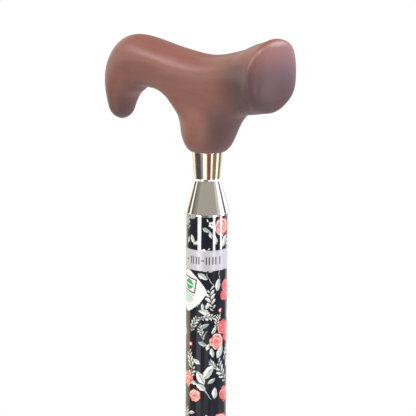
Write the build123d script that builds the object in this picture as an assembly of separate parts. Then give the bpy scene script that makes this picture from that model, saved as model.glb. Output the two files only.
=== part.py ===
from build123d import *
import math
import os

import numpy as np

# Single point cane with a carved handle and a two-part telescopic shaft. Millimetres.
# +Z runs up the shaft, the origin is the centre of the rubber tip's ground face, +X points to the
# flared palm end of the handle and -X to its hook. The rest pose is the middle height setting.

# ---- heights up the shaft ----
SEAT_Z = 788.0  # flat underside of the handle's neck, which is also the collar's top
UPPER_END_Z = 330.0  # open lower end of the upper tube
BUTTON_Z = 440.0  # snap button, in the middle hole of the row
LOWER_TOP_Z = 480.0  # upper end of the lower tube
LOWER_END_Z = 14.0  # lower end of the lower tube, inside the rubber tip

# ---- tubes ----
UPPER_D = 22.0
LOWER_D = 19.0
WALL = 1.2
UPPER_BORE = UPPER_D - 2 * WALL
LOWER_BORE = LOWER_D - 2 * WALL
HOLE_COUNT = 7
HOLE_PITCH = 25.0
HOLE_D = 7.2
FIT = 0.1  # radial clearance of a running fit
GLIDE_FIT = 0.05  # radial clearance of the guide bush in the upper tube

# ---- collar between the handle and the tube ----
COLLAR_H = 34.0
COLLAR_TOP_D = 16.6
COLLAR_WAIST_D = 14.0
COLLAR_WAIST_DROP = 15.4
COLLAR_BASE_D = 24.4
COLLAR_LIP = 1.0
COLLAR_BEVEL = 0.4
COLLAR_TOP_ROUND = 0.4
COLLAR_WAIST_ROUND = 4.0
COLLAR_LIP_ROUND = 0.6
COLLAR_SOCKET = 3.0  # depth of tube held in the collar's skirt

# ---- bolt that draws the handle, the collar and the tube together ----
BOLT_D = 8.0
BOLT_LENGTH = 75.0
BOLT_HEAD_AF = 13.0
BOLT_HEAD_H = 5.3
BOLT_POINT = 1.2  # chamfer at the bolt's end
BOLT_HOLE_D = 8.4
WASHER_D = 16.0
WASHER_T = 1.6
SPRING_WASHER_D = 12.8
SPRING_WASHER_T = 2.0
SPRING_WASHER_SLIT = 1.0
SPRING_WASHER_LEAN = 30  # degrees that the slit leans over
INSERT_D = 12.0
INSERT_LENGTH = 22.0
INSERT_BARB = 0.6
INSERT_BARB_PITCH = 3.6
INSERT_BARB_EDGE = 1.0  # straight stretch above each barb
PLUG_LENGTH = 20.0
PLUG_PIN_D = 3.0
PLUG_PIN_REACH = 5.0  # how near the pins come to the axis
PLUG_PIN_ANGLE = 90  # degrees about Z: both pins are on the back of the tube
PLUG_PIN_DROPS = (7.0, 15.0)  # pin axes below the tube's upper end

# ---- tape and sticker round the tube ----
TAPE_T = 0.15
BAND_DROP = 52.4  # from the handle's seat to the band's upper edge
BAND_H = 11.0
STICKER_DROP = 75.1
STICKER_ANGLE = -109.4  # degrees about Z, from +X
STICKER_HALF = 11.6
STICKER_POWER = 1.3  # exponent of the rounded diamond's outline
STICKER_SIDES = 56
STICKER_MARGIN = 1.0  # of the ring that the sticker is cut from

# ---- threaded bush and lock ring at the lower end of the upper tube ----
BUSH_D = 25.4
BUSH_RISE = 18.0
BUSH_DROP = 12.0
BUSH_SHOULDER_D = 28.4
BUSH_SHOULDER_H = 3.2
BUSH_SHOULDER_ROUND = 1.4
BUSH_STEP_ROUND = 0.5
BUSH_PIN_D = 2.5
BUSH_PIN_RISE = 9.0
RING_H = 6.0
RING_TOP_D = 24.4
RING_LOW_D = 22.0
RING_SLIT = 1.6
LOCK_TOP_D = 31.0
LOCK_LOW_D = 28.6
LOCK_RISE = 13.4  # top of the lock ring above the upper tube's end
LOCK_DROP = 22.0
LOCK_FLUTES = 20
LOCK_FLUTE_D = 3.0
LOCK_FLUTE_DEPTH = 0.8
LOCK_PLAIN_END = 3.0
LOCK_TOP_ROUND = 1.0
LOCK_LOW_ROUND = 2.0

# ---- snap button and its leaf spring ----
BUTTON_D = 7.0
BUTTON_TIP_R = 13.0  # how far the tip stands from the shaft's axis
BUTTON_DOME = 2.4
BUTTON_FLANGE_D = 9.0
BUTTON_FLANGE_T = 1.0
BUTTON_FLANGE_R = 6.8  # distance of the flange's outer face from the shaft's axis
LEAF_T = 0.7
LEAF_W = 6.0
LEAF_DROP = 34.0
LEAF_BEND = 1.6  # half the distance between the two corners of the bend
LEAF_BEND_ROUND = 1.4
LEAF_END_ROUND = 3.0

# ---- guide bush on top of the lower tube ----
GUIDE_H = 8.0
GUIDE_SPIGOT = 15.0
GUIDE_BORE_D = 10.0
GUIDE_ROUND = 1.0

# ---- rubber tip ----
TIP_BASE_D = 38.0
TIP_TOP_D = 26.0
TIP_H = 50.0
TIP_FOOT_H = 5.0  # straight edge of the foot
TIP_SHOULDER = (2.5, 13.0)  # in from the foot's edge, and height
TIP_FLARE_TOP = 28.0
TIP_EDGE_ROUND = 1.0
TIP_FOOT_ROUND = 3.0
TIP_SHOULDER_ROUND = 8.0
TIP_FLARE_ROUND = 10.0
TIP_MOUTH_ROUND = 1.2
TIP_WASHER_T = 1.5
TIP_GROOVE_W = 1.6
TIP_GROOVE_DEPTH = 1.5
TIP_GROOVE_RADII = (6.0, 10.5, 15.0)
TIP_RIB_HEIGHTS = (33.5, 39.0, 44.5)
TIP_RIB_W = 2.0
TIP_RIB = 0.8  # how far a rib stands out

# ---- handle ----
# Each station is a closed section across the arm, from the hook's tip to the palm end: centre x and
# height above the seat, tilt in degrees, reach up and down from the centre, half width, exponents of
# the upper and the lower half of the outline, lift of its widest point, and how far its edges sweep back.
ARM = (
    (-60.2, 12.2, 88, 4.8, 4.8, 6.4, 2.0, 2.0, 0, 0),
    (-60.2, 17.3, 86, 6.9, 6.5, 8.8, 2.0, 2.0, 0, 0),
    (-59.4, 24.5, 76, 8.7, 8.6, 11.0, 2.1, 2.1, 0, 0),
    (-56.2, 33.6, 52, 12.4, 12.3, 13.0, 2.1, 2.1, 1, 0),
    (-49.2, 41.6, 24, 14.5, 14.1, 13.8, 2.1, 2.1, 2, 0),
    (-38.5, 43.6, 2, 12.0, 14.7, 14.2, 2.1, 2.1, 2, 0),
    (-28.0, 41.8, -10, 11.6, 14.0, 14.4, 2.1, 2.1, 3, 0),
    (-17.5, 39.6, -10, 12.5, 16.6, 14.6, 2.1, 2.5, 3, 0),
    (2.5, 37.8, -3, 13.5, 13.8, 15.0, 2.1, 9.0, 3, 0),
    (22.6, 40.2, 7, 15.2, 18.9, 15.6, 2.1, 2.3, 3, 0),
    (29.6, 41.0, 7, 16.8, 18.0, 16.3, 2.1, 2.2, 3, 0),
    (35.4, 41.9, 5, 18.8, 17.8, 17.4, 2.1, 2.2, 3, 0.6),
    (41.0, 42.5, 1, 20.6, 17.4, 19.2, 2.15, 2.2, 2, 1.4),
    (45.0, 42.5, 0, 21.8, 15.5, 19.7, 2.25, 2.15, 1.5, 2.0),
    (47.4, 42.5, 0, 18.4, 10.0, 16.0, 2.25, 2.15, 1.5, 1.2),
)
# The neck's rings, from under the arm down past the seat: height, centre x, half length, half width.
NECK = (
    (17.6, 2.1, 19.4, 13.9),
    (10.0, 1.0, 16.0, 13.5),
    (4.0, 0.5, 13.2, 12.5),
    (0.0, 0.2, 9.9, 9.8),
    (-3.5, 0.0, 5.0, 5.0),
)
NECK_FROM = 7  # first of the three stations that the neck grows from
SECTION = 8  # points round each section
LIFT_SHARES = (0.0, 0.3, 1.0, 0.3)  # share of the lift that the points from the top to the bottom get
SEAT_CUT = 24.0  # height of the block that cuts the seat flat
HOOK_TIP_BULGE = (0.2, 0.0, -3.0)
PALM_END_BULGE = (1.8, 0.0, 0.0)
NECK_END_BULGE = (0.0, 0.0, -0.5)
FIT_ROUNDS = 30


# ---- handle: a cage of four-sided faces, its Catmull-Clark limit surface, and that as Bezier patches ----


def arm_section(x, z, tilt, up, down, half_width, upper_power, lower_power, lift, sweep):
    """Points of one section, from its top round by -Y: two half superellipses, tilted about Y."""
    points = []
    for index in range(SECTION):
        angle = math.pi / 2 - index * 2 * math.pi / SECTION
        across, above = math.cos(angle), math.sin(angle)
        below = SECTION // 4 < index < SECTION - SECTION // 4
        power = lower_power if below else upper_power
        reach = (abs(across) ** power + abs(above) ** power) ** (-1 / power)
        side = -half_width * across * reach
        height = (down if below else up) * above * reach
        height += lift * LIFT_SHARES[index % len(LIFT_SHARES)]
        back = sweep * (side / half_width) ** 2
        turn = math.radians(tilt)
        points.append((x - back - height * math.sin(turn), side, z + height * math.cos(turn)))
    return points


def neck_section(z, centre, half_length, half_width):
    """Points of one ring of the neck, in the order of the opening that it grows from."""
    angles = [math.radians(-135 - index * 360 / SECTION) for index in range(SECTION)]
    return [(centre + half_length * math.cos(a), half_width * math.sin(a), z) for a in angles]


def add_cap(points, faces, ring, bulge, outward):
    """Close a ring of eight points with four faces round a raised centre point."""
    centre = len(points)
    points.append(tuple(np.mean([points[i] for i in ring], axis=0) + np.array(bulge)))
    for index in range(0, SECTION, 2):
        face = (centre, *(ring[(index + step) % SECTION] for step in (1, 2, 3)))
        faces.append(face if outward else face[::-1])


def handle_cage():
    """The points that the handle's surface goes through, and the four-sided faces between them."""
    points, faces, rows = [], [], []
    for station in ARM:
        rows.append(list(range(len(points), len(points) + SECTION)))
        points += arm_section(*station)
    opening = {(row, index) for row in (NECK_FROM, NECK_FROM + 1) for index in (3, 4)}
    for row in range(len(rows) - 1):
        for index in range(SECTION):
            if (row, index) not in opening:
                after = (index + 1) % SECTION
                faces.append((rows[row][index], rows[row][after], rows[row + 1][after], rows[row + 1][index]))
    add_cap(points, faces, rows[0], HOOK_TIP_BULGE, False)
    add_cap(points, faces, rows[-1], PALM_END_BULGE, True)
    first, middle, last = rows[NECK_FROM : NECK_FROM + 3]
    edge = [first[3], first[4], first[5], middle[5], last[5], last[4], last[3], middle[3]]
    for ring in NECK:
        new = list(range(len(points), len(points) + SECTION))
        points += neck_section(*ring)
        for index in range(SECTION):
            after = (index + 1) % SECTION
            faces.append((edge[index], edge[after], new[after], new[index]))
        edge = new
    add_cap(points, faces, edge, NECK_END_BULGE, True)
    used = sorted({i for face in faces for i in face})
    place = {old: new for new, old in enumerate(used)}
    return np.array([points[i] for i in used]), [tuple(place[i] for i in face) for face in faces]


def inner_points(cage, faces, faces_at):
    """For each corner of each face, the Bezier point just inside that corner."""
    found = {}
    for corner, meeting in faces_at.items():
        count = len(meeting)
        for number, turn in meeting:
            after, across, before = (faces[number][(turn + step) % 4] for step in (1, 2, 3))
            total = count * cage[corner] + 2 * cage[after] + 2 * cage[before] + cage[across]
            found[number, corner] = total / (count + 5)
    return found


def corner_points(inner, faces_at):
    """The point of the limit surface at each cage corner."""
    return {c: np.mean([inner[n, c] for n, _ in meeting], axis=0) for c, meeting in faces_at.items()}


def bezier_grid(face, number, inner, corners, faces_on):
    """The four by four Bezier points of one face."""
    grid = [[None] * 4 for _ in range(4)]
    corner_places = ((0, 0), (3, 0), (3, 3), (0, 3))
    for turn, corner in enumerate(face):
        row, column = corner_places[turn]
        steps = []
        for other in ((turn + 1) % 4, (turn + 3) % 4):
            down = (corner_places[other][0] - row) // 3
            along = (corner_places[other][1] - column) // 3
            meeting = faces_on[frozenset((corner, face[other]))]
            grid[row + down][column + along] = np.mean([inner[n, corner] for n in meeting], axis=0)
            steps.append((down, along))
        grid[row][column] = corners[corner]
        grid[row + steps[0][0] + steps[1][0]][column + steps[0][1] + steps[1][1]] = inner[number, corner]
    return [[Vector(*map(float, point)) for point in line] for line in grid]


def handle_blank():
    """The carved outside of the handle, before it is cut flat and bored, with its seat at height 0."""
    through, faces = handle_cage()
    faces_at, faces_on = {}, {}
    for number, face in enumerate(faces):
        for turn, corner in enumerate(face):
            faces_at.setdefault(corner, []).append((number, turn))
            faces_on.setdefault(frozenset((corner, face[(turn + 1) % 4])), []).append(number)
    cage = through.copy()
    for _ in range(FIT_ROUNDS):
        reached = corner_points(inner_points(cage, faces, faces_at), faces_at)
        cage += through - np.array([reached[c] for c in range(len(cage))])
    inner = inner_points(cage, faces, faces_at)
    corners = corner_points(inner, faces_at)
    grids = [bezier_grid(face, number, inner, corners, faces_on) for number, face in enumerate(faces)]
    return Solid(Shell([Face.make_bezier_surface(grid) for grid in grids]))


# ---- shared shapes ----


def turned(outline, rounded=()):
    """A solid turned about Z from (radius, height) points; rounded holds (point number, radius) pairs."""
    face = make_face(Polyline(*outline, close=True)).face()
    for number, radius in rounded:
        target = Vector(*outline[number])
        corner = min(face.vertices(), key=lambda vertex: (Vector(*vertex) - target).length)
        face = face.fillet_2d(radius, [corner])
    return revolve(Plane.XZ * face, Axis.Z)


def rod(radius, low, high):
    """A cylinder about Z between two heights."""
    return Pos(0, 0, (low + high) / 2) * Cylinder(radius, high - low)


def radial_rod(radius, start, end, height, angle):
    """A cylinder along a ray from the shaft's axis, between two distances from it."""
    along = Rot(0, 90, 0) * Cylinder(radius, end - start)
    return Pos(0, 0, height) * Rot(0, 0, angle) * Pos((start + end) / 2, 0, 0) * along


def flush_pins(radius, start, end, places):
    """Equal pins at the (height, angle) places, their outer ends rounded to a circle about the shaft."""
    pins = []
    for height, angle in places:
        trim = rod(end, height - 2 * radius, height + 2 * radius)
        pins.append(radial_rod(radius, start, end + radius, height, angle) & trim)
    return Compound(children=pins)


# ---- handle, collar and bolt ----


def handle():
    """Wooden handle: cut flat at the seat and bored for its threaded insert and the bolt's end."""
    seat_cut = Pos(0, 0, -SEAT_CUT / 2) * Box(2 * SEAT_CUT, 2 * SEAT_CUT, SEAT_CUT)
    bored = handle_blank() - seat_cut - rod(INSERT_D / 2, 0, INSERT_LENGTH)
    bored -= rod(BOLT_HOLE_D / 2, INSERT_LENGTH, INSERT_LENGTH + BOLT_D)
    return Pos(0, 0, SEAT_Z) * bored


def handle_insert():
    """Barbed brass insert, pressed into the handle, that the bolt screws into."""
    outer = INSERT_D / 2
    outline = [(BOLT_D / 2, 0), (outer, 0)]
    for barb in range(int(INSERT_LENGTH / INSERT_BARB_PITCH)):
        low = barb * INSERT_BARB_PITCH + INSERT_BARB_EDGE
        high = (barb + 1) * INSERT_BARB_PITCH
        outline += [(outer, low), (outer - INSERT_BARB, low), (outer, high)]
    outline += [(outer, INSERT_LENGTH), (BOLT_D / 2, INSERT_LENGTH)]
    return Pos(0, 0, SEAT_Z) * turned(outline)


def collar():
    """Bright waisted collar: bored for the bolt, with a skirt over the tube's upper end."""
    outline = [
        (BOLT_HOLE_D / 2, 0),
        (COLLAR_TOP_D / 2, 0),
        (COLLAR_WAIST_D / 2, -COLLAR_WAIST_DROP),
        (COLLAR_BASE_D / 2, COLLAR_LIP - COLLAR_H),
        (COLLAR_BASE_D / 2, COLLAR_BEVEL - COLLAR_H),
        (COLLAR_BASE_D / 2 - COLLAR_BEVEL, -COLLAR_H),
        (UPPER_D / 2, -COLLAR_H),
        (UPPER_D / 2, COLLAR_SOCKET - COLLAR_H),
        (BOLT_HOLE_D / 2, COLLAR_SOCKET - COLLAR_H),
    ]
    rounds = (COLLAR_TOP_ROUND, COLLAR_WAIST_ROUND, COLLAR_LIP_ROUND)
    return Pos(0, 0, SEAT_Z) * turned(outline, enumerate(rounds, 1))


def tube_top():
    """Height of the upper tube's upper end, against the bottom of the collar's socket."""
    return SEAT_Z - COLLAR_H + COLLAR_SOCKET


def plug_pin_places():
    """Heights and angles of the pins that hold the plug."""
    return [(tube_top() - drop, PLUG_PIN_ANGLE) for drop in PLUG_PIN_DROPS]


def bush_pin_places():
    """Heights and angles of the pins that hold the threaded bush."""
    return [(UPPER_END_Z + BUSH_PIN_RISE, angle) for angle in (0, 180)]


def tube_plug():
    """Solid plug in the tube's upper end, which the bolt pulls against."""
    top = tube_top()
    blank = rod(UPPER_BORE / 2, top - PLUG_LENGTH, top) - rod(BOLT_HOLE_D / 2, top - PLUG_LENGTH, top)
    for height, angle in plug_pin_places():
        blank -= radial_rod(PLUG_PIN_D / 2, PLUG_PIN_REACH, UPPER_D, height, angle)
    return blank


def plug_pins():
    """Pins through the back of the tube's wall into the plug, flush with the tube."""
    return flush_pins(PLUG_PIN_D / 2, PLUG_PIN_REACH, UPPER_D / 2, plug_pin_places())


def bolt_washer():
    """Flat washer under the plug."""
    high = tube_top() - PLUG_LENGTH
    return rod(WASHER_D / 2, high - WASHER_T, high) - rod(BOLT_HOLE_D / 2, high - WASHER_T, high)


def spring_washer():
    """Split spring washer between the flat washer and the bolt's head."""
    high = tube_top() - PLUG_LENGTH - WASHER_T
    ring = rod(SPRING_WASHER_D / 2, high - SPRING_WASHER_T, high)
    ring -= rod(BOLT_HOLE_D / 2, high - SPRING_WASHER_T, high)
    slit = Box(SPRING_WASHER_D, SPRING_WASHER_SLIT, 2 * SPRING_WASHER_T)
    place = Pos(SPRING_WASHER_D / 2, 0, high - SPRING_WASHER_T / 2)
    return ring - place * Rot(SPRING_WASHER_LEAN, 0, 0) * slit


def handle_bolt():
    """Hexagon-head bolt, up through the plug and the collar into the handle's insert."""
    under_head = tube_top() - PLUG_LENGTH - WASHER_T - SPRING_WASHER_T
    hexagon = RegularPolygon(BOLT_HEAD_AF / 2, 6, major_radius=False)
    head = Pos(0, 0, under_head - BOLT_HEAD_H) * extrude(hexagon, BOLT_HEAD_H)
    end = under_head + BOLT_LENGTH
    outline = [(0, under_head), (BOLT_D / 2, under_head), (BOLT_D / 2, end - BOLT_POINT)]
    outline += [(BOLT_D / 2 - BOLT_POINT, end), (0, end)]
    return head + turned(outline)


# ---- upper tube and what is on it ----


def upper_tube():
    """Printed upper tube: height holes down its -Y side, and pin holes at both ends."""
    tube = rod(UPPER_D / 2, UPPER_END_Z, tube_top()) - rod(UPPER_BORE / 2, UPPER_END_Z, tube_top())
    for place in range(HOLE_COUNT):
        height = BUTTON_Z + (place - (HOLE_COUNT - 1) / 2) * HOLE_PITCH
        tube -= radial_rod(HOLE_D / 2, 0, UPPER_D, height, -90)
    for height, angle in plug_pin_places():
        tube -= radial_rod(PLUG_PIN_D / 2, 0, UPPER_D, height, angle)
    for height, angle in bush_pin_places():
        tube -= radial_rod(BUSH_PIN_D / 2, 0, UPPER_D, height, angle)
    return tube


def tape_ring(low, high):
    """A thin ring of tape on the upper tube."""
    return rod(UPPER_D / 2 + TAPE_T, low, high) - rod(UPPER_D / 2, low, high)


def label_band():
    """Pale tape wound once round the tube."""
    return tape_ring(SEAT_Z - BAND_DROP - BAND_H, SEAT_Z - BAND_DROP)


def sticker():
    """Diamond sticker with bowed sides, bent round the tube."""
    radius = UPPER_D / 2
    outline = []
    for side in range(STICKER_SIDES):
        angle = 2 * math.pi * side / STICKER_SIDES
        across, above = math.cos(angle), math.sin(angle)
        reach = (abs(across) ** STICKER_POWER + abs(above) ** STICKER_POWER) ** (-1 / STICKER_POWER)
        arc = STICKER_HALF * across * reach / radius
        outline.append((radius * math.sin(arc), STICKER_HALF * above * reach))
    cutter = extrude(Plane.YZ * make_face(Polyline(*outline, close=True)), UPPER_D)
    blank = STICKER_HALF + STICKER_MARGIN
    bent = tape_ring(-blank, blank) & cutter
    return Pos(0, 0, SEAT_Z - STICKER_DROP) * Rot(0, 0, STICKER_ANGLE) * bent


def thread_bush():
    """Sleeve pinned over the tube's lower end, whose lower part guides the lower tube."""
    low, high = UPPER_END_Z - BUSH_DROP, UPPER_END_Z + BUSH_RISE
    outline = [
        (LOWER_D / 2 + FIT, low),
        (BUSH_D / 2, low),
        (BUSH_D / 2, high - BUSH_SHOULDER_H),
        (BUSH_SHOULDER_D / 2, high - BUSH_SHOULDER_H),
        (BUSH_SHOULDER_D / 2, high),
        (UPPER_D / 2, high),
        (UPPER_D / 2, UPPER_END_Z),
        (LOWER_D / 2 + FIT, UPPER_END_Z),
    ]
    bush = turned(outline, [(4, BUSH_SHOULDER_ROUND), (3, BUSH_STEP_ROUND)])
    for height, angle in bush_pin_places():
        bush -= radial_rod(BUSH_PIN_D / 2, UPPER_BORE / 2, UPPER_D, height, angle)
    return bush


def bush_pins():
    """Pins that hold the threaded bush to the tube, flush inside and under the lock ring."""
    return flush_pins(BUSH_PIN_D / 2, UPPER_BORE / 2 + FIT, BUSH_D / 2 - FIT, bush_pin_places())


# ---- clamp ----


def grip_ring():
    """Split taper ring that the lock ring squeezes onto the lower tube."""
    high = UPPER_END_Z - BUSH_DROP - FIT
    bore = LOWER_D / 2 + FIT
    low = high - RING_H
    ring = turned([(bore, low), (RING_LOW_D / 2, low), (RING_TOP_D / 2, high), (bore, high)])
    return ring - Pos(RING_TOP_D / 2, 0, high - RING_H / 2) * Box(RING_TOP_D, RING_SLIT, 2 * RING_H)


def lock_ring():
    """Fluted ring that screws onto the bush and closes the taper ring."""
    top, low = UPPER_END_Z + LOCK_RISE, UPPER_END_Z - LOCK_DROP
    ring_top = UPPER_END_Z - BUSH_DROP - FIT
    ring_low = ring_top - RING_H - FIT
    outline = [
        (BUSH_D / 2 + FIT, top),
        (LOCK_TOP_D / 2, top),
        (LOCK_LOW_D / 2, low),
        (LOWER_D / 2 + 3 * FIT, low),
        (LOWER_D / 2 + 3 * FIT, ring_low),
        (RING_LOW_D / 2 + 2 * FIT, ring_low),
        (RING_TOP_D / 2 + 2 * FIT, ring_top),
        (BUSH_D / 2 + FIT, ring_top),
    ]
    ring = turned(outline, [(1, LOCK_TOP_ROUND), (2, LOCK_LOW_ROUND)])
    lean = math.degrees(math.atan2((LOCK_TOP_D - LOCK_LOW_D) / 2, top - low))
    middle = (top + low) / 2
    length = top - low - 2 * LOCK_PLAIN_END
    reach = (LOCK_TOP_D + LOCK_LOW_D) / 4 + LOCK_FLUTE_D / 2 - LOCK_FLUTE_DEPTH
    flute = Cylinder(LOCK_FLUTE_D / 2, length - LOCK_FLUTE_D)
    flute += Pos(0, 0, length / 2 - LOCK_FLUTE_D / 2) * Sphere(LOCK_FLUTE_D / 2)
    flute += Pos(0, 0, LOCK_FLUTE_D / 2 - length / 2) * Sphere(LOCK_FLUTE_D / 2)
    for number in range(LOCK_FLUTES):
        turn = Rot(0, 0, (number + 0.5) * 360 / LOCK_FLUTES)
        ring -= Pos(0, 0, middle) * turn * Pos(reach, 0, 0) * Rot(0, lean, 0) * flute
    return ring


# ---- lower tube, button and rubber tip ----


def lower_tube():
    """Plain lower tube with one hole for the snap button."""
    tube = rod(LOWER_D / 2, LOWER_END_Z, LOWER_TOP_Z) - rod(LOWER_BORE / 2, LOWER_END_Z, LOWER_TOP_Z)
    return tube - radial_rod(HOLE_D / 2, 0, LOWER_D, BUTTON_Z, -90)


def guide_bush():
    """Nylon glide in the lower tube's upper end, a running fit in the upper tube."""
    outline = [
        (GUIDE_BORE_D / 2, LOWER_TOP_Z - GUIDE_SPIGOT),
        (LOWER_BORE / 2, LOWER_TOP_Z - GUIDE_SPIGOT),
        (LOWER_BORE / 2, LOWER_TOP_Z),
        (UPPER_BORE / 2 - GLIDE_FIT, LOWER_TOP_Z),
        (UPPER_BORE / 2 - GLIDE_FIT, LOWER_TOP_Z + GUIDE_H),
        (GUIDE_BORE_D / 2, LOWER_TOP_Z + GUIDE_H),
    ]
    return turned(outline, [(4, GUIDE_ROUND)])


def snap_button():
    """Domed button on a flange that stays inside the lower tube, standing out towards -Y."""
    outline = [
        (0, BUTTON_FLANGE_R - BUTTON_FLANGE_T),
        (BUTTON_FLANGE_D / 2, BUTTON_FLANGE_R - BUTTON_FLANGE_T),
        (BUTTON_FLANGE_D / 2, BUTTON_FLANGE_R),
        (BUTTON_D / 2, BUTTON_FLANGE_R),
        (BUTTON_D / 2, BUTTON_TIP_R),
        (0, BUTTON_TIP_R),
    ]
    return Pos(0, 0, BUTTON_Z) * Rot(90, 0, 0) * turned(outline, [(4, BUTTON_DOME)])


def button_spring():
    """Leaf spring bent to a V inside the lower tube, with its bend below the button."""
    front = LEAF_T / 2 - (BUTTON_FLANGE_R - BUTTON_FLANGE_T)
    back = LOWER_BORE / 2 - 2 * LEAF_T
    centre_line = FilletPolyline(
        (front, BUTTON_FLANGE_D / 2),
        (front, -BUTTON_FLANGE_D / 2),
        (-LEAF_BEND, -LEAF_DROP),
        (LEAF_BEND, -LEAF_DROP),
        (back, -BUTTON_FLANGE_D / 2),
        (back, BUTTON_FLANGE_D),
        radius=(LEAF_END_ROUND, LEAF_BEND_ROUND, LEAF_BEND_ROUND, LEAF_END_ROUND),
    )
    strip = offset(centre_line, LEAF_T / 2, kind=Kind.ARC)
    leaf = extrude(Plane.YZ * make_face(strip), LEAF_W / 2, both=True)
    return Pos(0, 0, BUTTON_Z) * leaf


def ferrule_washer():
    """Steel disc that keeps the tube from cutting through the rubber."""
    return rod(LOWER_D / 2, LOWER_END_Z - TIP_WASHER_T, LOWER_END_Z)


def ferrule():
    """Rubber tip: a flared foot with ring grooves in its tread, and a ribbed socket."""
    foot, neck = TIP_BASE_D / 2, TIP_TOP_D / 2
    floor = LOWER_END_Z - TIP_WASHER_T
    outline = [(0, 0), (foot, 0), (foot, TIP_FOOT_H)]
    outline += [(foot - TIP_SHOULDER[0], TIP_SHOULDER[1]), (neck, TIP_FLARE_TOP)]
    for height in TIP_RIB_HEIGHTS:
        low, high = height - TIP_RIB_W / 2, height + TIP_RIB_W / 2
        crest = neck + TIP_RIB
        outline += [(neck, low - TIP_RIB), (crest, low), (crest, high), (neck, high + TIP_RIB)]
    mouth = len(outline)
    outline += [(neck, TIP_H), (LOWER_D / 2, TIP_H), (LOWER_D / 2, floor), (0, floor)]
    rounds = (TIP_EDGE_ROUND, TIP_FOOT_ROUND, TIP_SHOULDER_ROUND, TIP_FLARE_ROUND)
    tip = turned(outline, [*enumerate(rounds, 1), (mouth, TIP_MOUTH_ROUND)])
    for radius in TIP_GROOVE_RADII:
        groove = rod(radius + TIP_GROOVE_W / 2, 0, TIP_GROOVE_DEPTH)
        tip -= groove - rod(radius - TIP_GROOVE_W / 2, 0, TIP_GROOVE_DEPTH)
    return tip


NODES = (
    handle,
    handle_insert,
    handle_bolt,
    bolt_washer,
    spring_washer,
    collar,
    tube_plug,
    plug_pins,
    upper_tube,
    label_band,
    sticker,
    thread_bush,
    bush_pins,
    grip_ring,
    lock_ring,
    lower_tube,
    guide_bush,
    snap_button,
    button_spring,
    ferrule,
    ferrule_washer,
)

os.makedirs("parts", exist_ok=True)
for node in NODES:
    export_step(node(), os.path.join("parts", node.__name__ + ".step"))
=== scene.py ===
import math

import bpy
from mathutils import Matrix, Vector


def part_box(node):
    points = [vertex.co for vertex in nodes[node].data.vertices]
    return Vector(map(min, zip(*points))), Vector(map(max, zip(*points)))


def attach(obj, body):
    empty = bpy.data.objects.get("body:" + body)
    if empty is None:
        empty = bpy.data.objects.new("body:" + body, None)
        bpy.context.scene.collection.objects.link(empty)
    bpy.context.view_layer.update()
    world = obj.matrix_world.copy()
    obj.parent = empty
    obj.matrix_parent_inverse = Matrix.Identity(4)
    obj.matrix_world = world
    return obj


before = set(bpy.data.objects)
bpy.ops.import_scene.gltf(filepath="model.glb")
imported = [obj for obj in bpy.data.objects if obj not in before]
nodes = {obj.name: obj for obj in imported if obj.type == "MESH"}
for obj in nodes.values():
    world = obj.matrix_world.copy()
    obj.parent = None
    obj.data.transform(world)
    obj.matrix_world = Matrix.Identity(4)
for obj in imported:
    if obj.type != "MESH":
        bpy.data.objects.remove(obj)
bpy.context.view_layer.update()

# Looks of a single point cane: satin wooden handle, bright collar, rose-printed tube under a clear coat,
# and the black lower half. Every shape is a CAD node of the frame, so this script adds materials, light,
# floor and camera. Metres, except for places on the handle, the print, the label and the sticker, which
# are millimetres.

MM = 0.001

# ---- places taken from the frame ----
SEAT_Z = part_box("collar")[1].z  # the handle's seat on the collar
TUBE_TOP_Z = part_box("collar")[0].z  # where the printed tube comes out of the collar
TUBE_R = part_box("upper_tube")[1].x
FLOOR_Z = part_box("ferrule")[0].z

# ---- the view ----
VIEW_AZIMUTH = math.radians(40)
VIEW_ELEVATION = math.radians(12)
VIEW_DISTANCE = 1.5
LENS_MM = 245.3
SENSOR_MM = 36.0
AIM_DROP = 0.0316  # the camera aims this far below the seat,
AIM_RIGHT = 0.0005  # and this far to its right
CAMERA_ROLL = math.radians(0.37)
TO_CAMERA = VIEW_AZIMUTH - math.pi / 2  # direction from the shaft to the camera, from +X about Z


# ---- shader formulas ----


def feed(tree, socket, value):
    """Put a number, a colour or another node's result into a socket."""
    if isinstance(value, Term):
        tree.links.new(value.socket, socket)
    else:
        socket.default_value = value


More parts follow.
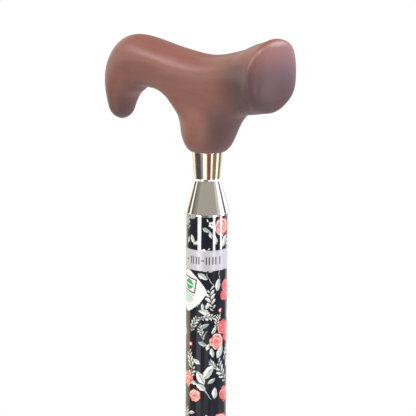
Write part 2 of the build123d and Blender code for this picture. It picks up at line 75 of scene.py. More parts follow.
class Term:
    """A result of a node in a material's tree, which can be used in formulas."""

    def __init__(self, tree, socket):
        self.tree = tree
        self.socket = socket

    def math(self, operation, *others):
        node = self.tree.nodes.new("ShaderNodeMath")
        node.operation = operation
        for place, value in enumerate((self, *others)):
            feed(self.tree, node.inputs[place], value)
        return Term(self.tree, node.outputs[0])

    def __add__(self, other):
        return self.math("ADD", other)

    def __sub__(self, other):
        return self.math("SUBTRACT", other)

    def __mul__(self, other):
        return self.math("MULTIPLY", other)

    def __truediv__(self, other):
        return self.math("DIVIDE", other)

    def __neg__(self):
        return self.math("MULTIPLY", -1.0)

    def __abs__(self):
        return self.math("ABSOLUTE")

    __radd__ = __add__
    __rmul__ = __mul__

    def __rsub__(self, other):
        return (-self) + other

    def sin(self):
        return self.math("SINE")

    def least(self, other):
        return self.math("MINIMUM", other)

    def most(self, other):
        return self.math("MAXIMUM", other)

    def part(self):
        """The share of the way from the whole number below to the one above."""
        return self.math("FRACT")

    def step(self, low, high):
        """0 below low, 1 above high, smooth between; high may be below low."""
        node = self.tree.nodes.new("ShaderNodeMapRange")
        node.interpolation_type = "SMOOTHSTEP"
        for place, value in enumerate((self, low, high)):
            feed(self.tree, node.inputs[place], value)
        return Term(self.tree, node.outputs[0])

    def ramp(self, *stops):
        """A colour between the stops, each (place, colour)."""
        node = self.tree.nodes.new("ShaderNodeValToRGB")
        elements = node.color_ramp.elements
        while len(elements) < len(stops):
            elements.new(0.5)
        for element, (place, colour) in zip(elements, stops):
            element.position = place
            element.color = (*colour, 1)
        feed(self.tree, node.inputs[0], self)
        return Term(self.tree, node.outputs[0])

    def split(self):
        node = self.tree.nodes.new("ShaderNodeSeparateXYZ")
        feed(self.tree, node.inputs[0], self)
        return [Term(self.tree, output) for output in node.outputs]


MIX_SOCKETS = {"FLOAT": (2, 3, 0), "VECTOR": (4, 5, 1), "RGBA": (6, 7, 2)}


def mix(tree, factor, start, end, kind="RGBA"):
    """start where factor is 0, end where it is 1."""
    node = tree.nodes.new("ShaderNodeMix")
    node.data_type = kind
    first, second, output = MIX_SOCKETS[kind]
    feed(tree, node.inputs[0], factor)
    for place, value in ((first, start), (second, end)):
        if kind == "RGBA" and not isinstance(value, Term):
            value = (*value, 1)
        feed(tree, node.inputs[place], value)
    return Term(tree, node.outputs[output])


def over(tree, below, cover, colour):
    """colour painted over what is below, where cover is 1."""
    return mix(tree, cover, below, colour)


def vector(tree, x, y, z=0.0):
    node = tree.nodes.new("ShaderNodeCombineXYZ")
    for place, value in enumerate((x, y, z)):
        feed(tree, node.inputs[place], value)
    return Term(tree, node.outputs[0])


def vector_math(tree, operation, *values):
    node = tree.nodes.new("ShaderNodeVectorMath")
    node.operation = operation
    for place, value in enumerate(values):
        feed(tree, node.inputs[place], value)
    return node


def noise(tree, place, scale, stretch=(1, 1, 1), detail=3.0, rough=0.55, warp=0.0):
    """Noise from 0 to 1; scale is features per metre, stretched along the axes."""
    node = tree.nodes.new("ShaderNodeTexNoise")
    scaled = vector_math(tree, "MULTIPLY", place, stretch)
    tree.links.new(scaled.outputs[0], node.inputs["Vector"])
    node.inputs["Scale"].default_value = scale
    node.inputs["Detail"].default_value = detail
    node.inputs["Roughness"].default_value = rough
    node.inputs["Distortion"].default_value = warp
    return Term(tree, node.outputs[0])


def new_material(name):
    """A material with its Principled shader, tree, and the place on the object."""
    material = bpy.data.materials.new(name)
    material.use_nodes = True
    tree = material.node_tree
    shader = next(node for node in tree.nodes if node.type == "BSDF_PRINCIPLED")
    place = tree.nodes.new("ShaderNodeTexCoord").outputs["Object"]
    return material, tree, shader, Term(tree, place)


def settings(shader, **values):
    """Set uniform numbers on the shader's own sockets."""
    for name, value in values.items():
        shader.inputs[name.replace("_", " ")].default_value = value


def raise_surface(tree, shader, height, depth):
    """Bump from a height of 0 to 1 that stands depth metres high."""
    bump = tree.nodes.new("ShaderNodeBump")
    bump.inputs["Strength"].default_value = 1.0
    bump.inputs["Distance"].default_value = depth
    feed(tree, bump.inputs["Height"], height)
    tree.links.new(bump.outputs[0], shader.inputs["Normal"])


def dress(material, *names):
    """Give a material to every slot of the named CAD nodes."""
    for name in names:
        slots = nodes[name].material_slots
        if not slots:
            nodes[name].data.materials.append(material)
        for slot in slots:
            slot.material = material


# ---- materials ----


def wood():
    """Reddish brown lacquered wood, its grain along the handle, with painted shade that darkens its palm
    end, hook tip and neck.
    """
    material, tree, shader, place = new_material("lacquered_wood")
    grain = noise(tree, place, 60, stretch=(1, 9, 6), detail=6, rough=0.6, warp=0.6)
    pores = noise(tree, place, 260, stretch=(1, 8, 8), detail=4, rough=0.7)
    cloud = noise(tree, place, 28, detail=3, warp=0.4)
    tone = grain * 0.55 + cloud * 0.45
    colour = tone.ramp(
        (0.28, (0.125, 0.043, 0.030)),
        (0.50, (0.154, 0.056, 0.040)),
        (0.74, (0.182, 0.069, 0.050)),
    )
    dark_pore = pores.step(0.36, 0.28) * 0.22
    colour = over(tree, colour, dark_pore, (0.075, 0.027, 0.021))
    x, _, z = place.split()
    along = x / MM  # from the shaft towards the palm end
    up = (z - SEAT_Z) / MM
    # Painted shade: the palm end below its top, the hook's tip and the neck get a darker colour where
    # shade falls on them.
    palm_end = along.step(12, 34) * up.step(60, 44)
    hook_tip = along.step(-34, -50) * up.step(34, 8)
    neck = along.step(3, 14) * up.step(34, 20)
    stain_and_painted_shade = (palm_end * 1.2).most(hook_tip * 0.85).most(neck * 0.8) * (cloud * 0.4 + 0.5)
    colour = over(tree, colour, stain_and_painted_shade, (0.040, 0.019, 0.023))
    feed(tree, shader.inputs["Base Color"], colour)
    feed(tree, shader.inputs["Roughness"], cloud * 0.1 + 0.48)
    settings(shader, Coat_Weight=0.5, Coat_Roughness=0.36, Coat_IOR=1.45, Specular_IOR_Level=0.35)
    raise_surface(tree, shader, grain * 0.6 + pores * 0.4, 0.00003)
    return material


def metal(name, colour, roughness, stretch=(1, 1, 1), wear=0.06, depth=0.00001):
    """A metal with fine machining marks, faint stains and uneven polish."""
    material, tree, shader, place = new_material(name)
    marks = noise(tree, place, 500, stretch=stretch, detail=4, rough=0.6)
    stain_and_painted_shade = noise(tree, place, 45, detail=4, warp=0.5)
    dull = tuple(0.72 * channel for channel in colour)
    feed(tree, shader.inputs["Base Color"], mix(tree, stain_and_painted_shade.step(0.35, 0.75) * 0.4, colour, dull))
    feed(tree, shader.inputs["Roughness"], marks * wear + stain_and_painted_shade * wear + roughness)
    settings(shader, Metallic=1.0)
    raise_surface(tree, shader, marks, depth)
    return material


def plastic(name, colour, roughness, depth=0.00002, scale=900, mottle=0.25, coat=0.0):
    """Moulded plastic, paint or rubber: fine texture, uneven gloss and slightly uneven colour."""
    material, tree, shader, place = new_material(name)
    fine = noise(tree, place, scale, detail=3, rough=0.65)
    cloud = noise(tree, place, 50, detail=3)
    light = tuple(min(1.0, channel * (1 + mottle) + 0.004) for channel in colour)
    feed(tree, shader.inputs["Base Color"], mix(tree, cloud * 0.6 + fine * 0.4, colour, light))
    feed(tree, shader.inputs["Roughness"], fine * 0.1 + cloud * 0.1 + roughness)
    settings(shader, Coat_Weight=coat, Coat_Roughness=0.08)
    raise_surface(tree, shader, fine, depth)
    return material


# ---- the print of roses and leaves ----

# Places are (round, down): millimetres round the tube from the side that faces the camera, and down from
# the handle's seat. The print repeats after half a turn and after REPEAT_DOWN.
TUBE_R_MM = TUBE_R / MM
REPEAT_ROUND = math.pi * TUBE_R_MM
REPEAT_DOWN = 108.0
TINT_SHIFT = 0.01  # a motif's tint rides in the third coordinate, this much to a unit
WOBBLE = 1.5  # reach of the brush's wobble, in millimetres
BRUSH = 1500  # brush marks per metre

# (round, down), radius, turn in degrees, tint from 0, crimson, to 1, pale coral
ROSES = (
    ((9.0, 40.0), 5.4, 10, 0.85),
    ((12.2, 72.4), 3.6, 40, 0.1),
    ((11.2, 77.6), 3.4, 200, 0.25),
    ((10.0, 95.0), 4.4, 120, 0.2),
    ((6.0, 102.5), 4.7, 300, 0.95),
    ((14.2, 100.0), 4.2, 70, 0.0),
    ((-12.0, 124.0), 4.8, 160, 0.5),
    ((-6.5, 132.8), 3.8, 20, 1.0),
    ((12.2, 132.5), 4.6, 250, 0.3),
    ((-13.0, 60.0), 4.5, 80, 0.6),
    ((-6.0, 74.5), 4.8, 190, 0.8),
)
# (round, down), radius, turn, tint: 0 a red bud with a pale centre, 1 a small white flower
BLOSSOMS = (
    ((8.0, 85.5), 1.5, 0, 0.0),
    ((2.6, 38.2), 1.9, 20, 1.0),
    ((-1.5, 53.0), 1.8, 50, 1.0),
    ((-9.5, 104.5), 1.5, 0, 0.0),
)
# (round, down), half length, turn of its tip from +round towards up, tint: 0 white to 1 teal
LEAVES = (
    ((-0.3, 41.2), 2.4, 160, 0.75),
    ((2.2, 43.8), 2.0, 100, 0.25),
    ((0.4, 36.0), 1.0, 130, 0.0),
    ((-8.5, 34.8), 2.0, 15, 0.1),
    ((-8.3, 46.6), 2.6, 118, 0.0),
    ((-5.8, 48.4), 2.0, 40, 0.05),
    ((-11.5, 47.5), 1.9, 75, 0.3),
    ((10.8, 48.0), 3.6, 65, 0.15),
    ((4.8, 46.6), 2.4, 100, 0.1),
    ((-2.2, 62.6), 2.6, 165, 0.1),
    ((2.8, 62.6), 2.6, 45, 0.2),
    ((-2.2, 66.6), 3.0, 152, 0.35),
    ((6.4, 71.4), 3.4, 84, 0.1),
    ((-2.0, 103.6), 2.4, 160, 0.8),
    ((0.8, 105.4), 2.2, 70, 0.15),
    ((3.2, 108.6), 2.6, 100, 0.1),
    ((8.0, 108.6), 3.9, 62, 0.1),
    ((4.2, 96.2), 2.4, 60, 0.45),
    ((1.2, 119.4), 4.6, 58, 0.0),
    ((-3.0, 122.6), 4.2, 122, 0.0),
    ((-2.9, 127.8), 3.2, 150, 0.05),
    ((2.9, 124.4), 2.6, 35, 0.6),
    ((4.9, 131.2), 3.2, 88, 0.05),
    ((-5.4, 113.8), 2.4, 150, 0.0),
    ((-7.3, 125.6), 2.2, 160, 0.15),
    ((-1.2, 86.0), 3.0, 172, 0.1),
    ((-2.0, 83.4), 1.8, 95, 0.2),
    ((0.4, 83.0), 1.8, 80, 0.0),
    ((-0.6, 93.6), 2.2, 20, 0.85),
    ((-5.0, 56.5), 2.6, 30, 0.4),
    ((6.5, 56.0), 3.0, 120, 0.1),
    ((-10.5, 84.0), 3.0, 40, 0.3),
    ((13.5, 61.0), 3.0, 95, 0.2),
    ((15.5, 115.0), 3.4, 70, 0.1),
    ((-14.8, 98.0), 3.0, 110, 0.7),
    ((16.0, 88.0), 2.8, 50, 0.3),
)
# (round, down), half length, turn of its tip, tint
SPRIGS = (
    ((2.9, 79.0), 5.6, 100, 0.05),
    ((-4.2, 80.8), 3.0, 60, 0.1),
    ((1.2, 89.4), 4.0, 6, 0.15),
    ((6.4, 91.0), 3.4, 75, 0.1),
    ((-6.6, 93.0), 4.4, 65, 0.35),
    ((-2.5, 96.8), 3.6, 110, 0.3),
    ((4.2, 115.4), 3.2, 130, 0.0),
    ((9.6, 119.4), 6.0, 118, 0.2),
    ((-8.8, 114.0), 5.2, 110, 0.0),
    ((-8.9, 122.6), 4.6, 75, 0.25),
    ((11.5, 57.5), 4.5, 80, 0.2),
    ((-12.0, 37.0), 4.0, 100, 0.2),
    ((14.5, 109.0), 4.5, 60, 0.1),
    ((16.0, 50.0), 5.0, 100, 0.0),
    ((-15.5, 75.0), 5.0, 80, 0.2),
    ((1.0, 56.0), 4.0, 100, 0.1),
)
# (round, down), half length, turn of its tip, tint
STEMS = (
    ((3.2, 69.6), 6.0, 128, 0.3),
    ((0.2, 129.0), 6.4, 112, 0.1),
    ((7.6, 65.0), 4.5, 91, 0.2),
    ((-1.0, 101.0), 4.5, 80, 0.3),
)

FILM = (0.004, 0.0045, 0.008)
WHITE_LEAF = (0.78, 0.79, 0.71)
GREY_LEAF = (0.14, 0.18, 0.15)
TEAL_LEAF = (0.045, 0.13, 0.135)
TEAL_TIP = (0.32, 0.44, 0.40)


def nearest(tree, spot, motifs, width=1.0):
    """Along, across, tint and distance in the nearest motif's own frame, where its half length is 1."""
    best, least = None, None
    half = (REPEAT_ROUND / 2, REPEAT_DOWN / 2, 1.0)
    for (around, down), size, turn, tint in motifs:
        centre = (around, -down, 0.0)
        high = tuple(c + h for c, h in zip(centre, half))
        low = tuple(c - h for c, h in zip(centre, half))
        wrapped = vector_math(tree, "WRAP", spot, high, low)
        local = tree.nodes.new("ShaderNodeMapping")
        local.vector_type = "TEXTURE"
        tree.links.new(wrapped.outputs[0], local.inputs["Vector"])
        local.inputs["Location"].default_value = (around, -down, -tint * TINT_SHIFT)
        local.inputs["Rotation"].default_value = (0, 0, math.radians(turn))
        local.inputs["Scale"].default_value = (size, size * width, 1)
        here = Term(tree, local.outputs[0])
        distance = Term(tree, vector_math(tree, "LENGTH", here).outputs["Value"])
        if best is None:
            best, least = here, distance
        else:
            best = mix(tree, distance.math("LESS_THAN", least), best, here, "VECTOR")
            least = least.least(distance)
    along, across, tint = best.split()
    return along, across * width, tint * (1 / TINT_SHIFT), least


def paint_rose(tree, spot, below):
    """Cabbage rose: petals in a spiral, each dark where it tucks in and pale at its rim."""
    along, across, tint, distance = nearest(tree, spot, ROSES)
    turn = across.math("ARCTAN2", along)
    rim = 0.95 - 0.09 * abs((turn * 2.5 + tint * 9).sin()) + 0.03 * (turn * 7).sin()
    inside = (distance - rim).step(0.03, -0.03)
    swirl = distance * 2.7 - turn / (2 * math.pi) + 0.16 * (turn * 3 + distance * 6 + tint * 5).sin()
    petal = swirl.part()
    crimson = petal.ramp(
        (0.0, (0.20, 0.008, 0.014)),
        (0.18, (0.50, 0.028, 0.035)),
        (0.50, (0.66, 0.09, 0.095)),
        (0.86, (0.74, 0.27, 0.26)),
        (1.0, (0.42, 0.025, 0.03)),
    )
    coral = petal.ramp(
        (0.0, (0.55, 0.04, 0.03)),
        (0.14, (0.70, 0.10, 0.065)),
        (0.40, (0.74, 0.30, 0.23)),
        (0.80, (0.78, 0.56, 0.47)),
        (0.92, (0.80, 0.66, 0.57)),
        (1.0, (0.60, 0.08, 0.05)),
    )
    colour = mix(tree, tint, crimson, coral)
    heart = distance.step(0.34, 0.12) * 0.6
    colour = over(tree, colour, heart, (0.50, 0.03, 0.03))
    patches = noise(tree, vector(tree, along, across, tint), 2.3, detail=2, warp=0.5)
    colour = over(tree, colour, patches.step(0.53, 0.62) * 0.75, (0.72, 0.055, 0.04))
    colour = over(tree, colour, patches.step(0.44, 0.36) * tint * 0.6, (0.86, 0.70, 0.60))
    return over(tree, below, inside, colour)


def paint_blossom(tree, spot, below):
    """Small white flower of five petals, or a red bud with a pale centre."""
    along, across, tint, distance = nearest(tree, spot, BLOSSOMS)
    turn = across.math("ARCTAN2", along)
    petals = 0.62 + 0.34 * abs((turn * 2.5).sin())
    inside = (distance - petals).step(0.05, -0.05)
    bud = distance.ramp(
        (0.0, (0.95, 0.72, 0.62)),
        (0.42, (0.93, 0.60, 0.5)),
        (0.62, (0.6, 0.05, 0.03)),
    )
    white = distance.ramp(
        (0.0, (0.03, 0.07, 0.06)),
        (0.24, (0.08, 0.14, 0.12)),
        (0.4, (0.78, 0.82, 0.76)),
    )
    return over(tree, below, inside, mix(tree, tint, bud, white))


def leaf_colour(tree, tint, light):
    """Pale grey-green to teal, lighter where light is 1."""
    pale = mix(tree, light, GREY_LEAF, WHITE_LEAF)
    teal = mix(tree, light, TEAL_LEAF, TEAL_TIP)
    return mix(tree, tint, pale, teal)


def paint_leaf(tree, spot, below):
    """Pointed leaf with a midrib, side veins and one half in shade."""
    width = 0.46  # of its length
    along, across, tint, _ = nearest(tree, spot, LEAVES, width)
    reach = (1 - along * along) * width
    inside = (abs(across) - reach).step(0.05, -0.03)
    rib = abs(across).step(0.07, 0.03) * along.step(0.8, 0.5)
    veins = (along * 4.5 - abs(across) * 5).part() - 0.5
    vein = abs(veins).step(0.12, 0.04) * 0.5
    shade = across.step(-0.05, 0.05) * 0.45 + 0.5 - vein * 0.35
    colour = leaf_colour(tree, tint, shade - rib * 0.5)
    return over(tree, below, inside, colour)


def paint_sprig(tree, spot, below):
    """Thin stem with pairs of small leaves that lean towards its tip."""
    width = 0.62
    along, across, tint, _ = nearest(tree, spot, SPRIGS, width)
    bent = across - 0.12 * (1 - along * along)
    pitch, lean = 0.46, 0.85  # from pair to pair, and each leaf's rise along the stem to a unit out
    side = abs(bent)
    base = along - side * lean + bent.step(-0.01, 0.01) * (pitch / 2)
    nth = (base / pitch).math("ROUND") * pitch
    slant = math.hypot(1, lean)
    off = (base - nth) / slant
    out = side * slant
    length = 0.66 - 0.24 * (nth * nth)
    blade = out * (length - out) * 1.35
    inside = (abs(off) - blade).step(0.03, -0.03) * abs(nth).step(0.98, 0.94)
    stem = side.step(0.045, 0.015) * abs(along).step(0.98, 0.88)
    shade = 0.55 + off * 3 + out * 0.3
    colour = leaf_colour(tree, tint, shade)
    return over(tree, over(tree, below, stem, GREY_LEAF), inside, colour)


def paint_stem(tree, spot, below):
    """Long thin curved stem."""
    width = 0.3
    along, across, tint, _ = nearest(tree, spot, STEMS, width)
    bent = across - 0.22 * (1 - along * along) + 0.1
    inside = abs(bent).step(0.045, 0.02) * abs(along).step(1.0, 0.92)
    return over(tree, below, inside, leaf_colour(tree, tint, 0.4))


def tube_spot(tree, place):
    """Millimetres round the tube from the side that faces the camera, and up from the handle's seat."""
    x, y, z = place.split()
    turn = y.math("ARCTAN2", x) - TO_CAMERA
    around = turn.math("WRAP", math.pi, -math.pi) * TUBE_R_MM
    return around, (z - SEAT_Z) / MM


def printed_tube():
    """Near-black film printed with roses and leaves, under a clear coat."""
    material, tree, shader, place = new_material("rose_print")
    around, up = tube_spot(tree, place)
    wobble_round = noise(tree, place, 420, detail=2, warp=0.3) - 0.5
    wobble_up = noise(tree, place, 370, detail=2, warp=0.6) - 0.5
    spot = vector(tree, around + wobble_round * WOBBLE, up + wobble_up * WOBBLE)
    cloud = noise(tree, place, 300, detail=4)
    colour = mix(tree, cloud, FILM, tuple(1.6 * channel for channel in FILM))
    for paint in (paint_stem, paint_sprig, paint_leaf, paint_rose, paint_blossom):
        colour = paint(tree, spot, colour)
    dots = noise(tree, place, BRUSH, detail=2)
    colour = mix(tree, dots.step(0.52, 0.72) * 0.45, colour, FILM)
    feed(tree, shader.inputs["Base Color"], colour)
    settings(shader, Roughness=0.45, Specular_IOR_Level=0.1)
    settings(shader, Coat_Weight=1.0, Coat_Roughness=0.045, Coat_IOR=1.5)
    return material


# ---- label tape and sticker ----


def middle_up(node):
    """Millimetres from the handle's seat up to the middle of a node."""
    low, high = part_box(node)
    return ((low.z + high.z) / 2 - SEAT_Z) / MM


STICKER_TURN = math.radians(-109.4)  # from +X about Z to the sticker's middle
STICKER_ROUND = (STICKER_TURN - TO_CAMERA) * TUBE_R_MM
STICKER_UP = middle_up("sticker")
BAND_UP = middle_up("label_band")
MARK_TURN = math.radians(10)  # the sticker's mark is turned by this
INK = (0.03, 0.028, 0.03)
FRAME_INK = (0.035, 0.018, 0.02)
LEAF_INK = (0.01, 0.30, 0.07)
LINE_INK = (0.03, 0.34, 0.11)
FRAME_UP = 3.6  # middle of the mark's frame above the sticker's middle


def bar(across, above, half_width, half_height, soft=0.08):
    """1 inside a bar about the origin, 0 outside."""
    inside_sides = (abs(across) - half_width).step(soft, -soft)
    return inside_sides * (abs(above) - half_height).step(soft, -soft)


def label_film():
    """Silvery tape with a row of plain strokes, wide ones and narrow ones."""
    material, tree, shader, place = new_material("label_film")
    around, up = tube_spot(tree, place)
    fibre = noise(tree, place, 700, detail=3)
    colour = mix(tree, fibre, (0.34, 0.35, 0.36), (0.44, 0.45, 0.46))
    ink = None
    for stroke_at, half_width, half_height in (
        (-11.6, 0.9, 0.35),
        (-9.0, 0.38, 2.1),
        (-7.6, 0.38, 2.1),
        (-5.6, 0.38, 2.1),
        (-4.2, 0.38, 2.1),
        (-2.2, 0.8, 0.35),
        (-0.2, 0.38, 2.1),
        (1.4, 0.38, 2.1),
        (3.3, 0.38, 2.1),
        (4.9, 0.38, 2.1),
        (7.4, 0.36, 2.1),
    ):
        stroke = bar(around - stroke_at, up - BAND_UP, half_width, half_height, 0.12)
        ink = stroke if ink is None else ink.most(stroke)
    colour = over(tree, colour, ink * 0.92, INK)
    feed(tree, shader.inputs["Base Color"], colour)
    feed(tree, shader.inputs["Roughness"], fibre * 0.1 + 0.32)
    settings(shader, Metallic=0.15, Coat_Weight=0.3, Coat_Roughness=0.25)
    raise_surface(tree, shader, fibre, 0.00001)
    return material


def sticker_paper():
    """White sticker with a plain green leaf in a dark frame and rows of short green bars below it."""
    material, tree, shader, place = new_material("sticker_paper")
    around, up = tube_spot(tree, place)
    local = tree.nodes.new("ShaderNodeMapping")
    local.vector_type = "TEXTURE"
    feed(tree, local.inputs["Vector"], vector(tree, around, up))
    local.inputs["Location"].default_value = (STICKER_ROUND, STICKER_UP, 0)
    local.inputs["Rotation"].default_value = (0, 0, -MARK_TURN)
    across, above, _ = Term(tree, local.outputs[0]).split()
    fibre = noise(tree, place, 900, detail=3)
    colour = mix(tree, fibre, (0.62, 0.62, 0.61), (0.72, 0.72, 0.71))
    above_frame = above - FRAME_UP
    frame_line = bar(across, above_frame, 5.1, 4.1) - bar(across, above_frame, 4.3, 3.3)
    leaf_reach = (1 - across * across / 15) * 2.9
    leaf = (abs(above_frame) - leaf_reach).step(0.08, -0.08)
    leaf = leaf * abs(above_frame).step(0.2, 0.36)
    lines = None
    for line_at, half_width in ((-1.6, 5.0), (-2.9, 4.2), (-4.2, 4.6), (-5.6, 3.0)):
        line = bar(across, above - line_at, half_width, 0.42)
        lines = line if lines is None else lines.most(line)
    gaps = (across * 0.9).part().step(0.1, 0.25)
    colour = over(tree, colour, lines * gaps * 0.85, LINE_INK)
    colour = over(tree, colour, leaf, LEAF_INK)
    colour = over(tree, colour, frame_line, FRAME_INK)
    feed(tree, shader.inputs["Base Color"], colour)
    feed(tree, shader.inputs["Roughness"], fibre * 0.1 + 0.3)
    settings(shader, Coat_Weight=0.25, Coat_Roughness=0.2)
    raise_surface(tree, shader, fibre, 0.000005)
    return material


dress(wood(), "handle")
dress(metal("insert_brass", (0.80, 0.56, 0.25), 0.28), "handle_insert")
dress(metal("plated_steel", (0.62, 0.62, 0.60), 0.3), "handle_bolt", "bolt_washer", "spring_washer")
dress(metal("pin_steel", (0.58, 0.58, 0.57), 0.26), "plug_pins", "bush_pins", "ferrule_washer")
dress(metal("polished_nickel", (0.78, 0.75, 0.70), 0.03, (1, 1, 14), 0.05, 0.000002), "collar")
dress(metal("plug_aluminium", (0.76, 0.76, 0.77), 0.32, (1, 1, 10)), "tube_plug")
dress(printed_tube(), "upper_tube")
dress(label_film(), "label_band")
dress(sticker_paper(), "sticker")
dress(plastic("black_nylon", (0.018, 0.018, 0.02), 0.38), "thread_bush")
dress(plastic("white_nylon", (0.78, 0.78, 0.75), 0.4, mottle=0.08), "grip_ring", "guide_bush")
dress(plastic("lock_plastic", (0.014, 0.014, 0.016), 0.3, 0.00004, 700), "lock_ring")
dress(plastic("black_tube_paint", (0.02, 0.02, 0.023), 0.28, 0.00001, coat=0.6), "lower_tube")
dress(metal("button_steel", (0.72, 0.72, 0.71), 0.16, (1, 6, 1)), "snap_button")
dress(metal("spring_steel", (0.40, 0.42, 0.46), 0.3, (8, 1, 1)), "button_spring")
dress(plastic("tip_rubber", (0.025, 0.025, 0.027), 0.62, 0.00008, 420, mottle=0.5), "ferrule")


# ---- floor ----

FLOOR_RADIUS = 1.5
FLOOR_SIDES = 128


def pale_floor():
    """Round pale floor with a faint mottle, which rides with the tip, so that the cane stands on it."""
    rim = []
    for side in range(FLOOR_SIDES):
        turn = 2 * math.pi * side / FLOOR_SIDES
        rim.append((FLOOR_RADIUS * math.cos(turn), FLOOR_RADIUS * math.sin(turn), FLOOR_Z))
    mesh = bpy.data.meshes.new("floor")
    mesh.from_pydata(rim, [], [range(FLOOR_SIDES)])
    floor = bpy.data.objects.new("floor", mesh)
    bpy.context.scene.collection.objects.link(floor)
    material, tree, shader, place = new_material("floor_paper")
    mottle = noise(tree, place, 6, detail=4)
    colour = mix(tree, mottle, (0.62, 0.62, 0.61), (0.68, 0.68, 0.67))
    feed(tree, shader.inputs["Base Color"], colour)
    settings(shader, Roughness=0.7)
    mesh.materials.append(material)
    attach(floor, "lower")


pale_floor()


# ---- light ----


def direction_point(turn, distance, height):
    """A point that far from the shaft, turned by degrees to the right of the camera's direction."""
    angle = TO_CAMERA + math.radians(turn)
    return Vector((distance * math.cos(angle), distance * math.sin(angle), height))


def add_light(name, place, aim, width, height, radiance, colour):
    """A rectangle that shines from place towards aim."""
    light = bpy.data.lights.new(name, "AREA")
    light.shape = "RECTANGLE"
    light.size = width
    light.size_y = height
    light.color = colour
    light.energy = radiance * math.pi * width * height
    lamp = bpy.data.objects.new(name, light)
    lamp.location = place
    lamp.rotation_euler = (aim - place).to_track_quat("-Z", "Y").to_euler()
    bpy.context.scene.collection.objects.link(lamp)


STRIP_DISTANCE = 1.2
STRIP_RADIANCE = 24.0
STRIP_LOW = 0.43  # mirrored in the tube just above the label
STRIP_HIGH = 0.50  # mirrored under the collar's skirt


def strip(name, turn, width):
    """Low white strip that faces the shaft."""
    place = direction_point(turn, STRIP_DISTANCE, (STRIP_LOW + STRIP_HIGH) / 2)
    aim = Vector((0, 0, place.z))
    add_light(name, place, aim, width, STRIP_HIGH - STRIP_LOW, STRIP_RADIANCE, (1, 1, 1))


def softbox(name, turn, elevation, distance, width, radiance, colour=(1, 1, 1)):
    """Square softbox that looks down at the handle."""
    rise = math.radians(elevation)
    place = direction_point(turn, distance * math.cos(rise), SEAT_Z + distance * math.sin(rise))
    add_light(name, place, Vector((0, 0, SEAT_Z)), width, width, radiance, colour)


strip("strip_left", -42, 0.46)
strip("strip_right", 41, 0.28)
strip("strip_side", 84, 0.17)
softbox("key", -66, 48, 1.8, 1.6, 5.2)
softbox("fill", 106, 28, 1.5, 0.6, 15.0, (0.97, 0.93, 1.0))
softbox("rim", 36, 48, 1.5, 0.28, 90.0, (1.0, 0.95, 1.0))


# Cards round the room, which the collar, the wood and the clear coat mirror. All in degrees: middle, to
# the right of the camera's direction, half width, lowest and highest elevation; then the colour.
CARDS = (
    (0, 55, 12, 28, (0.47, 0.44, 0.40)),
    (180, 62, -22, -12, (0.95, 0.97, 0.90)),
    (-145, 25, -13, 30, (1.3, 1.25, 1.15)),
    (152, 18, -13, 30, (0.95, 0.97, 0.88)),
    (75, 67, -12.5, 4, (1.7, 1.6, 2.2)),
    (105, 35, 3, 14, (1.7, 1.6, 2.2)),
    (-75, 45, -12.5, 4, (2.2, 2.0, 1.85)),
    (-112, 10, 4, 28, (0.12, 0.11, 0.09)),
    (-94, 5, 4, 28, (1.5, 1.5, 1.4)),
    (-80, 7, 4, 28, (0.22, 0.20, 0.16)),
    (62, 7, 4, 26, (0.75, 0.76, 0.66)),
    (108, 10, 5, 14, (0.10, 0.11, 0.08)),
    (0, 128, -17.4, -12.9, (0.06, 0.07, 0.13)),
    (-42, 15, -17.4, -15.2, (1.3, 1.25, 1.4)),
    (2, 12, -17.4, -15.4, (0.8, 0.78, 0.85)),
    (-122, 18, -17.2, -15, (2.6, 1.7, 0.85)),
    (-157, 26, -40, -14, (0.85, 0.90, 0.70)),
    (-84, 34, -40, -17.8, (0.10, 0.09, 0.11)),
    (-45, 9, -40, -17.8, (0.30, 0.32, 0.28)),
    (-20, 15, -40, -17.8, (1.5, 1.4, 1.2)),
    (14, 12, -40, -17.8, (0.30, 0.10, 0.06)),
    (36, 7, -40, -17.8, (1.4, 1.35, 1.2)),
    (60, 15, -40, -17.8, (0.28, 0.24, 0.13)),
    (86, 9, -40, -17.5, (1.4, 1.5, 1.2)),
    (114, 18, -40, -16.5, (0.32, 0.27, 0.17)),
)


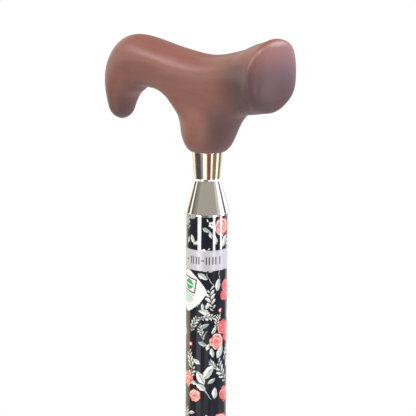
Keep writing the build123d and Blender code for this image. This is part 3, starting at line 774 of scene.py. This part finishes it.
def studio():
    """White backdrop for the camera, while the object sees a warm grey room with the cards."""
    world = bpy.data.worlds.new("studio")
    bpy.context.scene.world = world
    world.use_nodes = True
    tree = world.node_tree
    background = next(node for node in tree.nodes if node.type == "BACKGROUND")
    direction = Term(tree, tree.nodes.new("ShaderNodeTexCoord").outputs["Generated"])
    x, y, z = direction.split()
    turn = (y.math("ARCTAN2", x) - TO_CAMERA).math("DEGREES")
    rise = z.math("ARCSINE").math("DEGREES")
    colour = mix(tree, rise.step(30, 60), (0.34, 0.31, 0.30), (0.20, 0.15, 0.13))
    for centre, half_width, low, high, card in CARDS:
        away = abs((turn - centre).math("WRAP", 180.0, -180.0))
        between = rise.step(low - 1, low + 1) * rise.step(high + 1, high - 1)
        colour = over(tree, colour, (away - half_width).step(2, -2) * between, card)
    is_camera = Term(tree, tree.nodes.new("ShaderNodeLightPath").outputs["Is Camera Ray"])
    colour = mix(tree, is_camera, colour, (1.0, 1.0, 1.0))
    feed(tree, background.inputs["Color"], colour)


studio()


# ---- camera ----


def add_camera():
    """Camera at the photograph's angle, aimed a little below the handle's seat."""
    back = Vector((
        math.sin(VIEW_AZIMUTH) * math.cos(VIEW_ELEVATION),
        -math.cos(VIEW_AZIMUTH) * math.cos(VIEW_ELEVATION),
        math.sin(VIEW_ELEVATION),
    ))
    right = Vector((math.cos(VIEW_AZIMUTH), math.sin(VIEW_AZIMUTH), 0))
    seat = Vector((0, 0, SEAT_Z))
    location = seat + VIEW_DISTANCE * back
    target = seat + AIM_RIGHT * right - Vector((0, 0, AIM_DROP))
    data = bpy.data.cameras.new("camera")
    data.sensor_width = SENSOR_MM
    data.lens = LENS_MM
    data.clip_start = 0.01
    camera = bpy.data.objects.new("camera", data)
    turn = (target - location).to_track_quat("-Z", "Y").to_matrix().to_4x4()
    camera.matrix_world = Matrix.Translation(location) @ turn @ Matrix.Rotation(CAMERA_ROLL, 4, "Z")
    bpy.context.scene.collection.objects.link(camera)
    bpy.context.scene.camera = camera


add_camera()
bpy.context.scene.view_settings.view_transform = "Standard"
